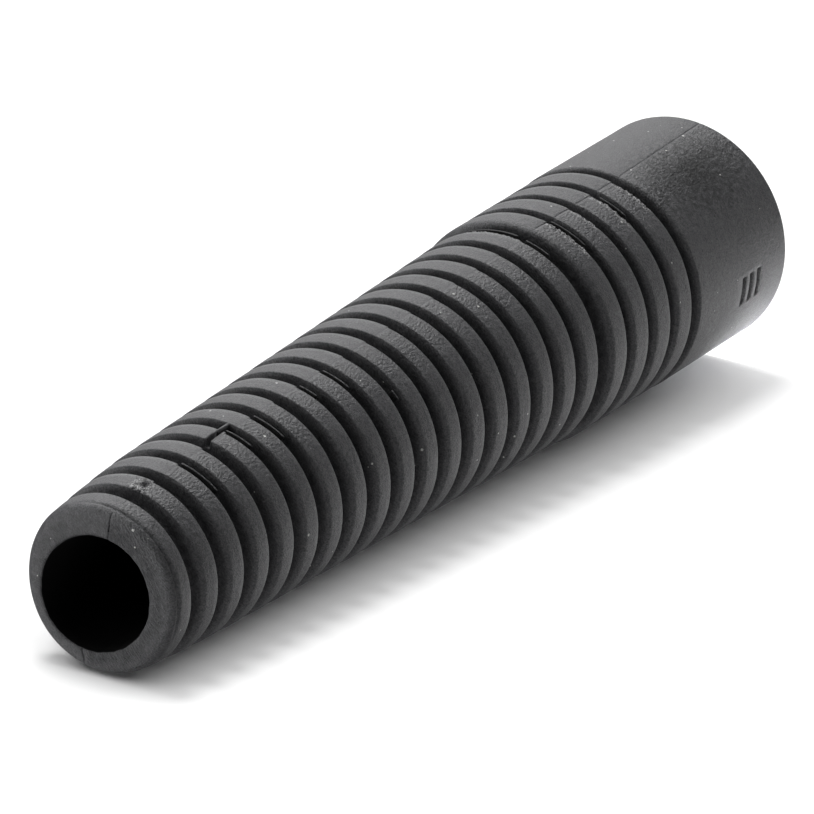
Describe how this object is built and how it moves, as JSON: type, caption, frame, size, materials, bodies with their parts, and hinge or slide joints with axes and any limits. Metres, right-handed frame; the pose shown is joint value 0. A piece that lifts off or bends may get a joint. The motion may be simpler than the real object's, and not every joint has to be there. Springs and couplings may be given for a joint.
{
  "type": "cable strain relief sleeve",
  "caption": "Tapered, ribbed rubber sleeve with a plain collar and a straight bore, which keeps a cable from kinking where it leaves an appliance.",
  "frame": {"origin": "centre of the collar's end face, on which the sleeve stands", "axes": "+Z along the bore, from the collar up to the thin nose where the cable leaves"},
  "size_m": [0.0216, 0.0216, 0.0963],
  "materials": {
    "rubber": "matte moulded charcoal rubber"
  },
  "bodies": {
    "root": {"sleeve": "rubber"}
  },
  "joints": []
}
